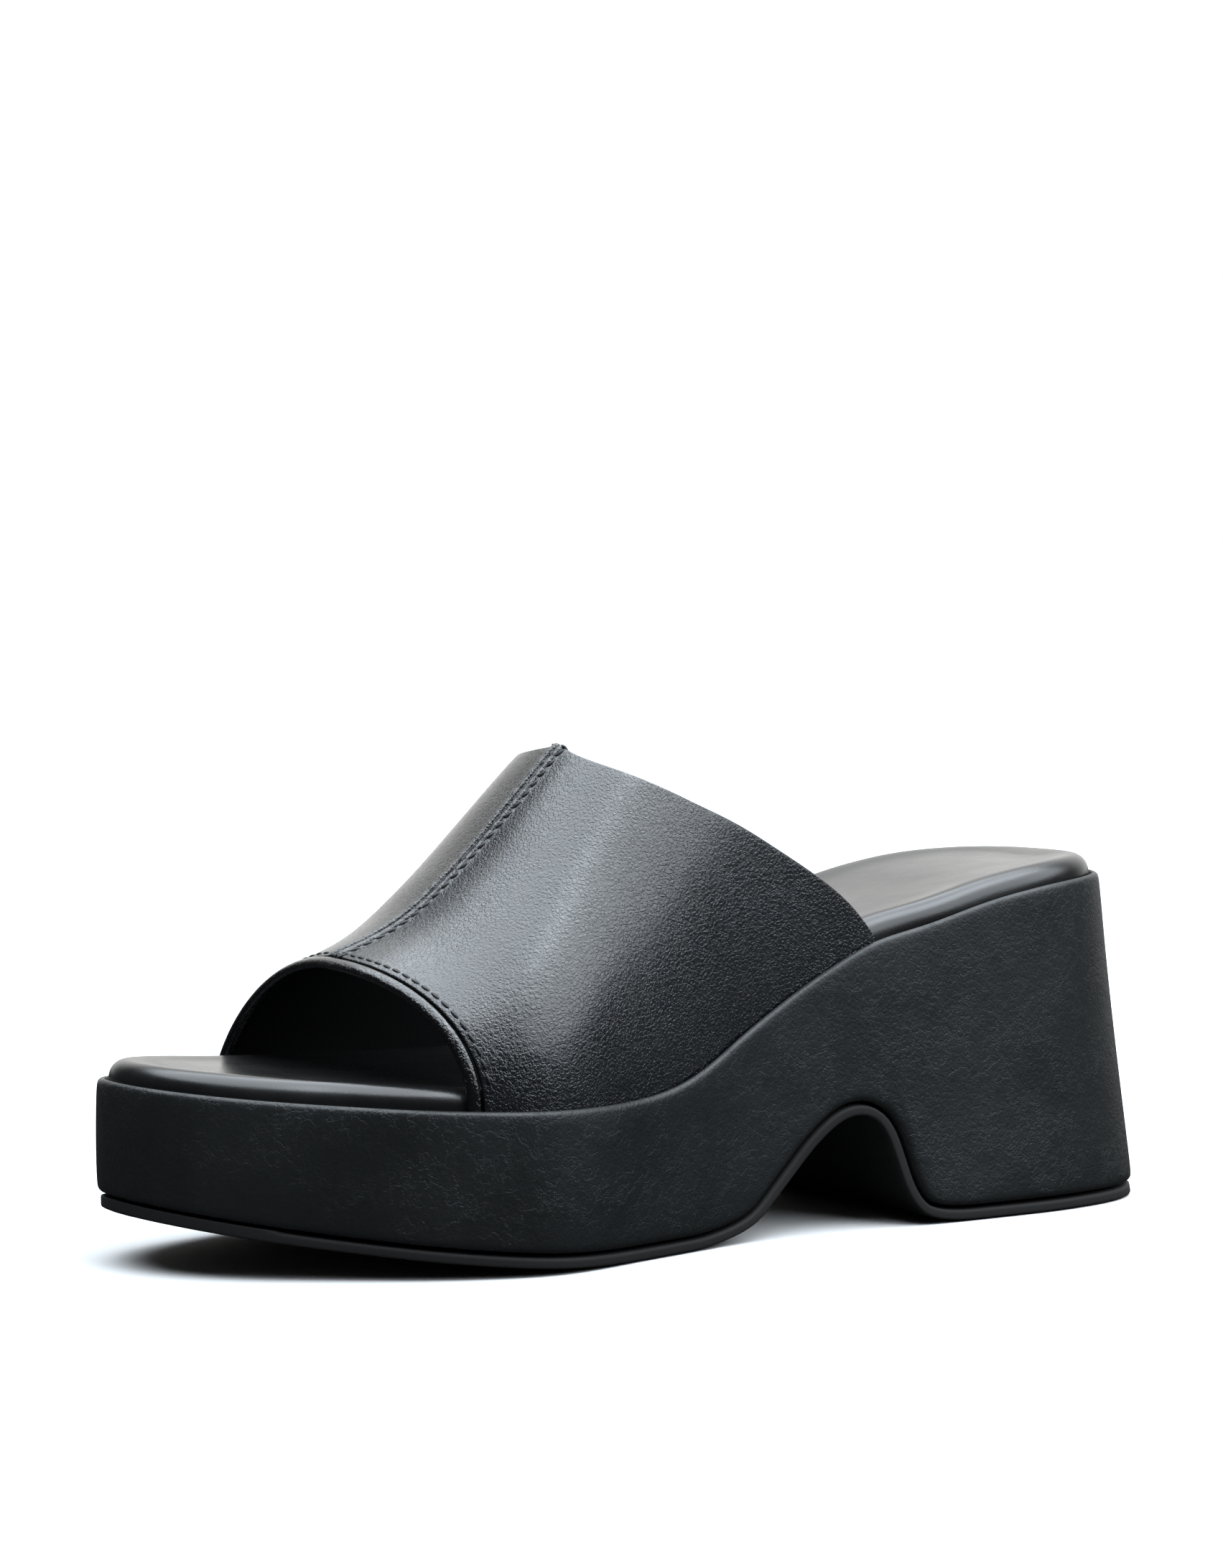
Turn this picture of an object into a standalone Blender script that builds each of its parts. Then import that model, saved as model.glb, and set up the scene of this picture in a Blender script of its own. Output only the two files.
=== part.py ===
"""Platform mule for the left foot: one shoe, open at the toe and at the back.

A leather-wrapped platform with a block heel in one piece, a rubber outsole under it, a padded
footbed in its rim, one wide vamp band with a raised seam along its ridge, and a folded binding
along the toe opening. X runs from heel to toe, Y to the wearer's left, Z up. Metres.
"""

import math

import bmesh
import bpy
import numpy as np

MM = 0.001

# Driving dimensions
SHOE_LENGTH = 250.0 * MM
BALL_WIDTH = 95.4 * MM
PLATFORM_HEIGHT = 34.4 * MM
HEEL_HEIGHT = 77.0 * MM
TOE_SPRING = 11.7 * MM
TOE_SPRING_TOP = 5.1 * MM
ARCH_HEIGHT = 25.7 * MM
INSTEP_HEIGHT = 108.9 * MM

# Sole pieces
OUTSOLE_THICKNESS = 3.0 * MM
OUTSOLE_INSET = 0.8 * MM
OUTSOLE_EDGE = 0.5 * MM
CLEARANCE = 0.3 * MM
HEEL_FLARE_BACK = 9.0 * MM
HEEL_FLARE_SIDE = 5.4 * MM
FLARE_POWER = 1.3
WALL_BULGE = 0.2 * MM
RIM_RADIUS = 1.4 * MM
RIM_WIDTH = 1.9 * MM
TRAY_DEPTH = 2.6 * MM
WRAP_EDGE_RADIUS = 2.0 * MM
HEEL_ROUND = 40.0 * MM
HEEL_ROUND_POWER = 2.55
TOE_ROUND = 62.5 * MM
TOE_ROUND_POWER = 2.25

# Footbed
FOOTBED_THICKNESS = 7.2 * MM
FOOTBED_EDGE_RADIUS = 4.4 * MM
FOOTBED_LOWER_EDGE = 0.8 * MM
FOOTBED_DISH = 1.2 * MM
FOOTBED_DISH_WIDTH = 7.0 * MM
FOOTBED_GAP = 0.6 * MM
FOOTBED_TUCK_GAP = 0.5 * MM
TUCK_LEAD = 4.0 * MM
TUCK_RUN = 18.0 * MM

# Upper
UPPER_WALL = 1.8 * MM
COLLAR_FOOT = 79.0 * MM
COLLAR_TOP = 147.5 * MM
COLLAR_POWER = 0.90
COLLAR_FULLNESS = 0.23
OPENING_FOOT_OUTER = 193.2 * MM
OPENING_TOP = 204.4 * MM
OPENING_FOOT_INNER = 211.2 * MM
OPENING_POWER = 1.75
SEAM_HALF_WIDTH = 2.7 * MM
SEAM_RAISE = 0.4 * MM
SEAM_GROOVE = 0.4 * MM
SEAM_GROOVE_HALF_WIDTH = 0.3 * MM
BINDING_WIDTH = 3.0 * MM
BINDING_PROUD = 0.35 * MM
BINDING_FOOT_RISE = 4.0 * MM
FOOT_GAP = 0.4 * MM

# The upper's outer face stands just inside the rim
FOOT_INSET = RIM_WIDTH + FOOT_GAP

# How finely the faceted pieces are cut
END_STEP = 5.0 * MM
SIDE_STEP = 6.0 * MM
ARCH_STEP = 3.2 * MM
WRAP_EDGE_CUTS = 3
RIM_CUTS = 2
FOOTBED_EDGE_CUTS = 4
NOSE_CUTS = 2
UPPER_COLUMNS = 20
UPPER_ROWS = 15
PROFILE_SAMPLES = 400
GRID_PASSES = 6
SMOOTH_FOLD = math.radians(35)

# Small steps over which slopes are read, along the shoe and round the foot, and a length that
# counts as none
SLOPE_STEP = 0.2 * MM
TOUCH = 0.01 * MM
SLOPE_TURN = 0.004

# Plan of the wall: share of the length from the heel, half width as a share of half the ball
# width, and the middle line's way to the wearer's left as a share of half the ball width
PLAN = (
    (0.00, 0.688, 0.000),
    (0.15, 0.714, 0.000),
    (0.40, 0.740, 0.000),
    (0.58, 0.890, 0.060),
    (0.70, 1.000, 0.104),
    (0.79, 0.920, 0.060),
    (0.88, 0.817, -0.026),
    (1.00, 0.760, -0.126),
)

# Rim seen from the side: share of the length, share of the heel's rise above the platform
RIM = (
    (0.000, 1.000),
    (0.050, 0.990),
    (0.107, 0.966),
    (0.177, 0.904),
    (0.259, 0.784),
    (0.323, 0.700),
    (0.372, 0.579),
    (0.438, 0.377),
    (0.475, 0.264),
    (0.512, 0.149),
    (0.550, 0.058),
    (0.588, 0.016),
    (0.640, 0.000),
    (1.000, 0.000),
)
RIM_SPRING_START = 0.64
RIM_SPRING_POWER = 2.0

# Arch between heel and forefoot, under the outsole: share of the length, share of the arch height
ARCH = (
    (0.2320, 0.000),
    (0.2580, 0.022),
    (0.2800, 0.080),
    (0.2925, 0.190),
    (0.3015, 0.340),
    (0.3085, 0.540),
    (0.3155, 0.745),
    (0.3240, 0.905),
    (0.3350, 0.985),
    (0.3460, 1.000),
    (0.3600, 0.975),
    (0.3860, 0.820),
    (0.4200, 0.510),
    (0.4400, 0.325),
    (0.4580, 0.170),
    (0.4820, 0.075),
    (0.5120, 0.018),
    (0.5320, 0.000),
)
SOLE_SPRING_START = 0.60
SOLE_SPRING_POWER = 1.7

# Heel flare fades out between these shares of the length
FLARE_FULL = 0.30
FLARE_NONE = 0.54

# The flare grows from the side's to the back's while the wall turns backwards between these
# shares of facing straight back
FLARE_TURN_START = 0.15
FLARE_TURN_END = 0.90

# Wall of the platform between its lower edge and its rim: share of the way up, share of the bulge
WALL = (
    (0.25, 0.8),
    (0.50, 1.0),
    (0.75, 0.7),
)

# Dish of the footbed inside its rounded edge: share of the dish's width, share of its depth
DISH = (
    (0.43, 0.3),
    (1.00, 1.0),
)

# Ridge of the upper: share of the length, share of the instep's height above the platform,
# and the ridge's way to the wearer's left of the middle line, as a share of half the ball width
RIDGE = (
    (0.320, 1.469, 0.136),
    (0.440, 1.369, 0.136),
    (0.520, 1.200, 0.126),
    (0.590, 1.000, 0.102),
    (0.624, 0.882, 0.082),
    (0.652, 0.783, 0.062),
    (0.680, 0.685, 0.046),
    (0.708, 0.597, 0.032),
    (0.732, 0.527, 0.022),
    (0.756, 0.472, 0.012),
    (0.780, 0.433, 0.004),
    (0.816, 0.386, -0.006),
    (0.860, 0.336, -0.010),
)

# Roundness of the upper's cross-section, 2 for an ellipse and more for fuller sides:
# share of the length, outer side, inner side
FULLNESS = (
    (0.32, 2.55, 2.95),
    (0.58, 2.05, 2.60),
    (0.70, 2.10, 2.25),
    (0.86, 2.30, 1.90),
)


def along(table, column, at):
    """Reads one column of a table as a smooth curve that doesn't overshoot its rows."""
    rows = np.array(table, dtype=float)
    x, y = rows[:, 0], rows[:, column]
    step = np.diff(x)
    slope = np.diff(y) / step
    tangent = np.zeros(len(x))
    tangent[0], tangent[-1] = slope[0], slope[-1]
    before, after = slope[:-1], slope[1:]
    same_way = before * after > 0
    total = np.where(same_way, before + after, 1.0)
    tangent[1:-1] = np.where(same_way, 2.0 * before * after / total, 0.0)
    at = np.clip(np.asarray(at, dtype=float), x[0], x[-1])
    row = np.clip(np.searchsorted(x, at, side="right") - 1, 0, len(step) - 1)
    h = step[row]
    t = (at - x[row]) / h
    start = (1 + 2 * t) * (1 - t) ** 2 * y[row] + t * (1 - t) ** 2 * h * tangent[row]
    end = t * t * (3 - 2 * t) * y[row + 1] + t * t * (t - 1) * h * tangent[row + 1]
    return start + end


def smooth_step(value, low, high):
    """Rises from 0 at low to 1 at high with no kink at either end."""
    t = np.clip((np.asarray(value, dtype=float) - low) / (high - low), 0.0, 1.0)
    return t * t * (3.0 - 2.0 * t)


def middle_line(x):
    """Sideways place of the middle line at each length."""
    return along(PLAN, 2, x / SHOE_LENGTH) * BALL_WIDTH / 2


def half_width(x):
    """Half the width of the wall at each length, with round heel and toe ends."""
    x = np.asarray(x, dtype=float)
    full = along(PLAN, 1, x / SHOE_LENGTH) * BALL_WIDTH / 2
    heel = np.clip(1.0 - x / HEEL_ROUND, 0.0, 1.0)
    toe = np.clip(1.0 - (SHOE_LENGTH - x) / TOE_ROUND, 0.0, 1.0)
    heel_end = (1.0 - heel**HEEL_ROUND_POWER) ** (1.0 / HEEL_ROUND_POWER)
    toe_end = (1.0 - toe**TOE_ROUND_POWER) ** (1.0 / TOE_ROUND_POWER)
    return full * heel_end * toe_end


def rim_height(x):
    """Height of the platform's rim above the floor."""
    share = np.asarray(x, dtype=float) / SHOE_LENGTH
    rise = along(RIM, 1, share) * (HEEL_HEIGHT - PLATFORM_HEIGHT)
    spring = np.clip((share - RIM_SPRING_START) / (1.0 - RIM_SPRING_START), 0.0, None)
    return PLATFORM_HEIGHT + rise + TOE_SPRING_TOP * spring**RIM_SPRING_POWER


def sole_height(x):
    """Height of the outsole's underside: heel flat, arch, forefoot flat and toe spring."""
    share = np.asarray(x, dtype=float) / SHOE_LENGTH
    inside = (share > ARCH[0][0]) & (share < ARCH[-1][0])
    arch = np.where(inside, along(ARCH, 1, share), 0.0) * ARCH_HEIGHT
    spring = np.clip((share - SOLE_SPRING_START) / (1.0 - SOLE_SPRING_START), 0.0, None)
    return arch + TOE_SPRING * spring**SOLE_SPRING_POWER


def evenly_spaced(x, height, spacing):
    """Picks lengths so that steps along a profile are about as long as the spacing."""
    run = np.concatenate(([0.0], np.cumsum(np.hypot(np.diff(x), np.diff(height)))))
    count = max(2, int(round(run[-1] / spacing)) + 1)
    return np.interp(np.linspace(0.0, run[-1], count), run, x)


def round_ends():
    """Lengths along the round heel and toe, about evenly spaced along their outline."""
    heel = np.linspace(0.0, HEEL_ROUND, PROFILE_SAMPLES)
    toe = np.linspace(SHOE_LENGTH - TOE_ROUND, SHOE_LENGTH, PROFILE_SAMPLES)
    return evenly_spaced(heel, half_width(heel), END_STEP), evenly_spaced(toe, half_width(toe), END_STEP)


def between(start, end):
    """Lengths between two stations, a side step apart."""
    return np.linspace(start, end, max(2, round((end - start) / SIDE_STEP) + 1))


def sole_stations():
    """Lengths at which the sole pieces are cut, closer together at the ends and in the arch."""
    heel, toe = round_ends()
    arch_start, arch_end = ARCH[0][0] * SHOE_LENGTH, ARCH[-1][0] * SHOE_LENGTH
    fine = np.linspace(arch_start, arch_end, PROFILE_SAMPLES)
    arch = evenly_spaced(fine, sole_height(fine), ARCH_STEP)
    parts = (heel, between(heel[-1], arch_start), arch, between(arch_end, toe[0]), toe)
    return np.unique(np.round(np.concatenate(parts), 7))


def outsole_stations():
    """Stations of the outsole: its two flat spots are single faces between their ends."""
    stations = sole_stations()
    heel_flat = (stations > HEEL_ROUND + TOUCH) & (stations < ARCH[0][0] * SHOE_LENGTH - TOUCH)
    ball_start, ball_end = ARCH[-1][0] * SHOE_LENGTH, SOLE_SPRING_START * SHOE_LENGTH
    ball_flat = (stations > ball_start + TOUCH) & (stations < ball_end - TOUCH)
    kept = stations[~(heel_flat | ball_flat)]
    return np.unique(np.round(np.concatenate((kept, [ball_end])), 7))


def footbed_stations():
    """Lengths at which the footbed is cut: its profile is smooth, so it needs fewer."""
    heel, toe = round_ends()
    return np.unique(np.round(np.concatenate((heel, between(heel[-1], toe[0]), toe)), 7))


class Plan:
    """Closed plan outline through a list of stations: outer side to the toe, inner side back."""

    def __init__(self, stations):
        x = np.concatenate((stations, stations[-2:0:-1]))
        side = np.concatenate((np.ones(len(stations)), -np.ones(len(stations) - 2)))
        self.stations = stations
        self.x = x
        self.y = middle_line(x) + side * half_width(x)
        ahead_x, ahead_y = np.roll(self.x, -1), np.roll(self.y, -1)
        behind_x, behind_y = np.roll(self.x, 1), np.roll(self.y, 1)
        run_x, run_y = ahead_x - behind_x, ahead_y - behind_y
        length = np.hypot(run_x, run_y)
        self.out_x = -run_y / length
        self.out_y = run_x / length

    def ring(self, inset, height, lean=0.0):
        """One closed ring of points, moved in from the wall and set at a height."""
        inset = inset + np.zeros(len(self.x))
        height = height + np.zeros(len(self.x))
        x = self.x - self.out_x * inset + lean
        y = self.y - self.out_y * inset
        return np.column_stack((x, y, height))


def loft(name, rings, material):
    """Joins closed rings, bottom ring first, and closes both ends across from side to side."""
    count = len(rings[0])
    half = count // 2
    mesh = bpy.data.meshes.new(name)
    shape = bmesh.new()
    loops = [[shape.verts.new(point) for point in ring] for ring in rings]
    for lower, upper in zip(loops[:-1], loops[1:]):
        for i in range(count):
            j = (i + 1) % count
            shape.faces.new((lower[j], lower[i], upper[i], upper[j]))
    for loop, faces_up in ((loops[0], False), (loops[-1], True)):
        for i in range(half):
            outer, inner = (loop[i], loop[i + 1]), (loop[-i % count], loop[count - i - 1])
            corners = [outer[1], outer[0], inner[0], inner[1]]
            if not faces_up:
                corners.reverse()
            kept = [v for n, v in enumerate(corners) if v not in corners[:n]]
            if len(kept) > 2:
                shape.faces.new(kept)
    bmesh.ops.recalc_face_normals(shape, faces=shape.faces[:])
    shape.to_mesh(mesh)
    shape.free()
    return add_object(name, mesh, material)


def add_object(name, mesh, material):
    """Puts a finished mesh into the scene, shaded smooth except over its folds."""
    mesh.validate()
    mesh.materials.append(material)
    mesh.shade_smooth()
    mesh.set_sharp_from_angle(angle=SMOOTH_FOLD)
    piece = bpy.data.objects.new(name, mesh)
    bpy.context.scene.collection.objects.link(piece)
    return piece


def finish(name, colour, roughness):
    """A plain material with the piece's own colour and gloss."""
    material = bpy.data.materials.new(name)
    material.use_nodes = True
    shader = material.node_tree.nodes["Principled BSDF"]
    shader.inputs["Base Color"].default_value = (*colour, 1.0)
    shader.inputs["Roughness"].default_value = roughness
    shader.inputs["Metallic"].default_value = 0.0
    return material


def rim_inside(plan, inset):
    """Rim's height at the lengths where a ring moved in from the wall really lies."""
    return rim_height(plan.x - plan.out_x * inset)


def quarter_turn(cuts):
    """Angles along a quarter of a circle, for a rounded edge."""
    return np.linspace(0.0, math.pi / 2, cuts + 1)


def heel_flare(plan, height):
    """How far the heel's wall stands out beyond the rim's outline at a height."""
    top = rim_height(plan.x)
    down = np.clip((top - height) / top, 0.0, 1.0) ** FLARE_POWER
    fade = 1.0 - smooth_step(plan.x / SHOE_LENGTH, FLARE_FULL, FLARE_NONE)
    backward = smooth_step(-plan.out_x, FLARE_TURN_START, FLARE_TURN_END)
    reach = HEEL_FLARE_SIDE + (HEEL_FLARE_BACK - HEEL_FLARE_SIDE) * backward
    return reach * fade * down


def sole_normals(plan):
    """Direction square to the sole's underside, upwards, in the side view."""
    rise = sole_height(plan.x + SLOPE_STEP) - sole_height(plan.x - SLOPE_STEP)
    slope = rise / (2 * SLOPE_STEP)
    slope = np.where(plan.x / SHOE_LENGTH < SOLE_SPRING_START, slope, 0.0)
    length = np.sqrt(1.0 + slope**2)
    return -slope / length, 1.0 / length


def lower_ring(plan, inset, depth):
    """A ring that follows the sole's underside at a depth above it, square to its profile."""
    lean, rise = sole_normals(plan)
    height = sole_height(plan.x) + rise * depth
    return plan.ring(inset - heel_flare(plan, height), height, lean * depth)


def build_outsole(material):
    """Rubber sheet under the forefoot, through the arch and under the heel, in one strip."""
    plan = Plan(outsole_stations())
    bottom = 0.0
    top = OUTSOLE_THICKNESS
    rings = [
        lower_ring(plan, OUTSOLE_INSET + 2.0 * OUTSOLE_EDGE, bottom),
        lower_ring(plan, OUTSOLE_INSET, bottom + OUTSOLE_EDGE),
        lower_ring(plan, OUTSOLE_INSET, top - OUTSOLE_EDGE / 2),
        lower_ring(plan, OUTSOLE_INSET + OUTSOLE_EDGE / 2, top),
    ]
    return loft("outsole", rings, material)


def build_platform(material):
    """Wrapped platform and block heel: rounded lower edge, wall, rounded rim and shallow tray."""
    plan = Plan(sole_stations())
    base = OUTSOLE_THICKNESS + CLEARANCE
    rings = []
    for angle in quarter_turn(WRAP_EDGE_CUTS):
        inset = WRAP_EDGE_RADIUS * (1.0 - math.sin(angle))
        depth = base + WRAP_EDGE_RADIUS * (1.0 - math.cos(angle))
        rings.append(lower_ring(plan, inset, depth))
    edge = rings[-1]
    rim = rim_height(plan.x)
    wall_top = rim - RIM_RADIUS
    lean = edge[:, 0] - plan.ring(-heel_flare(plan, edge[:, 2]), edge[:, 2])[:, 0]
    for share, bulge in WALL:
        height = edge[:, 2] + (wall_top - edge[:, 2]) * share
        inset = -WALL_BULGE * bulge - heel_flare(plan, height)
        rings.append(plan.ring(inset, height, lean * (1.0 - share) ** 2))
    for angle in quarter_turn(RIM_CUTS):
        inset = RIM_RADIUS * (1.0 - math.cos(angle))
        rings.append(plan.ring(inset, wall_top + RIM_RADIUS * math.sin(angle)))
    inner_rim = rim_inside(plan, RIM_WIDTH)
    rings.append(plan.ring(RIM_WIDTH, inner_rim - (RIM_WIDTH - RIM_RADIUS) / 2))
    rings.append(plan.ring(RIM_WIDTH, inner_rim - TRAY_DEPTH))
    return loft("platform", rings, material)


def upper_tuck(x):
    """Share of the upper's wall that the footbed's edge gives way to, along the shoe."""
    back, front = COLLAR_FOOT - TUCK_LEAD, OPENING_FOOT_INNER + TUCK_LEAD
    starts = smooth_step(x, back - TUCK_RUN, back)
    ends = smooth_step(x, front, front + TUCK_RUN)
    return starts * (1.0 - ends)


def bed_ring(plan, inset, above_floor):
    """A ring of the footbed at a height above the tray's floor."""
    return plan.ring(inset, rim_inside(plan, inset) - TRAY_DEPTH + CLEARANCE + above_floor)


def build_footbed(material):
    """Padded footbed: a rounded edge all round, and a top that dips a little in its middle."""
    plan = Plan(footbed_stations())
    free = RIM_WIDTH + FOOTBED_GAP
    tucked = FOOT_INSET + UPPER_WALL + FOOTBED_TUCK_GAP
    edge = free + (tucked - free) * upper_tuck(plan.x)
    radius = FOOTBED_EDGE_RADIUS
    thickness = FOOTBED_THICKNESS - CLEARANCE
    rings = [
        bed_ring(plan, edge + FOOTBED_LOWER_EDGE, 0.0),
        bed_ring(plan, edge, FOOTBED_LOWER_EDGE),
    ]
    for angle in quarter_turn(FOOTBED_EDGE_CUTS):
        inset = edge + radius * (1.0 - math.cos(angle))
        rings.append(bed_ring(plan, inset, thickness - radius * (1.0 - math.sin(angle))))
    for share, dip in DISH:
        inset = edge + radius + FOOTBED_DISH_WIDTH * share
        rings.append(bed_ring(plan, inset, thickness - FOOTBED_DISH * dip))
    return loft("footbed", rings, material)


def ridge_height(x):
    """Height of the upper's ridge above the floor."""
    return PLATFORM_HEIGHT + along(RIDGE, 1, x / SHOE_LENGTH) * (INSTEP_HEIGHT - PLATFORM_HEIGHT)


def foot_line(x, side):
    """Sideways place of the upper's foot, inside the rim, on the outer (1) or inner (-1) side."""
    ahead, behind = x + SLOPE_STEP, x - SLOPE_STEP
    run = middle_line(ahead) - middle_line(behind) + side * (half_width(ahead) - half_width(behind))
    slope = run / (2 * SLOPE_STEP)
    return middle_line(x) + side * (half_width(x) - FOOT_INSET * np.sqrt(1.0 + slope**2))


def upper_point(x, angle):
    """Point on the upper's outer face: angle 0 at the outer foot, a half turn at the inner foot."""
    outer_foot, inner_foot = foot_line(x, 1), foot_line(x, -1)
    ridge_y = middle_line(x) + along(RIDGE, 2, x / SHOE_LENGTH) * BALL_WIDTH / 2
    outer = np.cos(angle) >= 0
    fullness = np.where(
        outer, along(FULLNESS, 1, x / SHOE_LENGTH), along(FULLNESS, 2, x / SHOE_LENGTH)
    )
    reach = np.where(outer, outer_foot - ridge_y, ridge_y - inner_foot)
    across = np.sign(np.cos(angle)) * np.abs(np.cos(angle)) ** (2.0 / fullness)
    up = np.abs(np.sin(angle)) ** (2.0 / fullness)
    foot = rim_height(x)
    height = foot + (ridge_height(x) - foot) * up
    return np.stack((x + 0 * angle, ridge_y + reach * across, height), axis=-1)


def collar_x(angle):
    """Length at which the collar lies, for each angle round the foot."""
    turn = np.minimum(angle, math.pi - angle) / (math.pi / 2)
    rise = np.sin(turn * math.pi / 2) ** COLLAR_POWER
    return COLLAR_FOOT + (COLLAR_TOP - COLLAR_FOOT) * rise * (1.0 + COLLAR_FULLNESS * turn * (1.0 - turn))


def opening_x(angle):
    """Length at which the toe opening's edge lies, for each angle round the foot."""
    outer = OPENING_FOOT_OUTER + (OPENING_TOP - OPENING_FOOT_OUTER) * np.abs(np.sin(angle)) ** OPENING_POWER
    inner = OPENING_TOP + (OPENING_FOOT_INNER - OPENING_TOP) * (1.0 - np.abs(np.sin(angle)))
    return np.where(angle <= math.pi / 2, outer, inner)


def upper_shell(angle, x):
    """Outer face and outward direction of the upper at angles and lengths of the same shape."""
    point = upper_point(x, angle)
    onward = upper_point(x, np.clip(angle + SLOPE_TURN, 0.0, math.pi))
    round_foot = onward - upper_point(x, np.clip(angle - SLOPE_TURN, 0.0, math.pi))
    forward = upper_point(x + SLOPE_STEP, angle) - upper_point(x - SLOPE_STEP, angle)
    normal = np.cross(round_foot, forward)
    normal /= np.linalg.norm(normal, axis=-1, keepdims=True)
    return point, normal


def seam_angle(x, distance, outer_side):
    """Angle of the point at a distance from the ridge, on its outer or inner side."""
    ridge_y = middle_line(x) + along(RIDGE, 2, x / SHOE_LENGTH) * BALL_WIDTH / 2
    reach = foot_line(x, 1) - ridge_y if outer_side else ridge_y - foot_line(x, -1)
    fullness = along(FULLNESS, 1 if outer_side else 2, x / SHOE_LENGTH)
    quarter = np.arccos(np.clip(distance / reach, 0.0, 1.0) ** (fullness / 2.0))
    return quarter if outer_side else math.pi - quarter


def upper_columns():
    """Columns of the upper from its outer to its inner foot.

    Each is the side it is on, its share of the way up to the seam or else its distance from the
    ridge, and how far the wall is raised there: the seam keeps its width all along the ridge.
    """
    groove_bottom = SEAM_RAISE - SEAM_GROOVE
    seam = (
        (SEAM_HALF_WIDTH, 0.0),
        (SEAM_HALF_WIDTH - SEAM_RAISE, SEAM_RAISE),
        (SEAM_GROOVE_HALF_WIDTH + SEAM_RAISE, SEAM_RAISE),
        (SEAM_GROOVE_HALF_WIDTH, groove_bottom),
    )
    shares = [(share, None, 0.0) for share in np.linspace(0.0, 1.0, UPPER_COLUMNS + 1)[:-1]]
    half = shares + [(None, distance, lift) for distance, lift in seam]
    outer = [(True, *column) for column in half]
    inner = [(False, *column) for column in reversed(half)]
    return outer + [(True, None, 0.0, groove_bottom)] + inner


def upper_grid(start_x, end_x, rows):
    """Angles, lengths and raises of a grid on the upper between two edges."""
    share = np.linspace(0.0, 1.0, rows)
    angles, lengths, raises = [], [], []
    for outer_side, way_up, distance, lift in upper_columns():
        angle = np.full(rows, math.pi / 2)
        for _ in range(GRID_PASSES):
            x = start_x(angle) + (end_x(angle) - start_x(angle)) * share
            if distance is not None:
                angle = seam_angle(x, distance, outer_side)
            else:
                limit = seam_angle(x, SEAM_HALF_WIDTH, outer_side)
                angle = way_up * limit if outer_side else math.pi - way_up * (math.pi - limit)
        angles.append(angle)
        lengths.append(start_x(angle) + (end_x(angle) - start_x(angle)) * share)
        raises.append(np.full(rows, lift))
    return np.array(angles).T, np.array(lengths).T, np.array(raises).T


def with_feet(points):
    """Adds the tucked foot below both side columns of a grid, down into the rim's tray."""
    feet = []
    for column in (points[:, :1], points[:, -1:]):
        foot = column.copy()
        foot[..., 2] = rim_height(foot[..., 0]) - TRAY_DEPTH + CLEARANCE
        feet.append(foot)
    return np.concatenate((feet[0], points, feet[1]), axis=1)


def build_upper(material):
    """Vamp band as one hollow wall, open at the toe, the collar and underneath."""
    band_start = BINDING_WIDTH + CLEARANCE
    angle, x, lift = upper_grid(lambda a: opening_x(a) - band_start, collar_x, UPPER_ROWS)
    point, outward = upper_shell(angle, x)
    outer = with_feet(point + outward * lift[..., None])
    inner = with_feet(point - outward * UPPER_WALL)
    mesh = bpy.data.meshes.new("upper")
    shape = bmesh.new()
    rows, columns = outer.shape[:2]
    out = [[shape.verts.new(p) for p in row] for row in outer]
    inn = [[shape.verts.new(p) for p in row] for row in inner]
    for i in range(rows - 1):
        for j in range(columns - 1):
            shape.faces.new((out[i][j], out[i + 1][j], out[i + 1][j + 1], out[i][j + 1]))
            shape.faces.new((inn[i][j], inn[i][j + 1], inn[i + 1][j + 1], inn[i + 1][j]))
    border = [(0, j) for j in range(columns)] + [(i, columns - 1) for i in range(1, rows)]
    border += [(rows - 1, j) for j in range(columns - 2, -1, -1)] + [(i, 0) for i in range(rows - 2, 0, -1)]
    for (i, j), (m, n) in zip(border, border[1:] + border[:1]):
        shape.faces.new((out[i][j], out[m][n], inn[m][n], inn[i][j]))
    bmesh.ops.recalc_face_normals(shape, faces=shape.faces[:])
    shape.to_mesh(mesh)
    shape.free()
    return add_object("upper", mesh, material)


def build_toe_binding(material):
    """Folded strip along the toe opening, a little thicker than the wall, with a round nose."""
    angle, start, _ = upper_grid(opening_x, opening_x, 1)
    angle, start = angle[0], start[0]
    rise = upper_point(start, angle)[:, 2] - rim_height(start)
    half = UPPER_WALL / 2 + BINDING_PROUD * smooth_step(rise, 0.0, BINDING_FOOT_RISE)
    nose = UPPER_WALL / 2 + BINDING_PROUD
    profile = [(BINDING_WIDTH, 1.0)]
    profile += [(nose * (1.0 - math.cos(a)), math.sin(a)) for a in quarter_turn(NOSE_CUTS)[::-1]]
    profile += [(way, -side) for way, side in reversed(profile[:-1])]
    rings = []
    for way, side in profile:
        point, outward = upper_shell(angle, start - way)
        rings.append(with_feet((point + outward * (side * half - UPPER_WALL / 2)[:, None])[None])[0])
    mesh = bpy.data.meshes.new("toe_binding")
    shape = bmesh.new()
    loops = [[shape.verts.new(p) for p in loop] for loop in zip(*rings)]
    for here, there in zip(loops[:-1], loops[1:]):
        for i in range(len(here)):
            j = (i + 1) % len(here)
            shape.faces.new((here[i], here[j], there[j], there[i]))
    shape.faces.new(reversed(loops[0]))
    shape.faces.new(loops[-1])
    bmesh.ops.recalc_face_normals(shape, faces=shape.faces[:])
    shape.to_mesh(mesh)
    shape.free()
    return add_object("toe_binding", mesh, material)


def clear_scene():
    """Removes whatever the file held."""
    for item in list(bpy.data.objects):
        bpy.data.objects.remove(item, do_unlink=True)


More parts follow.
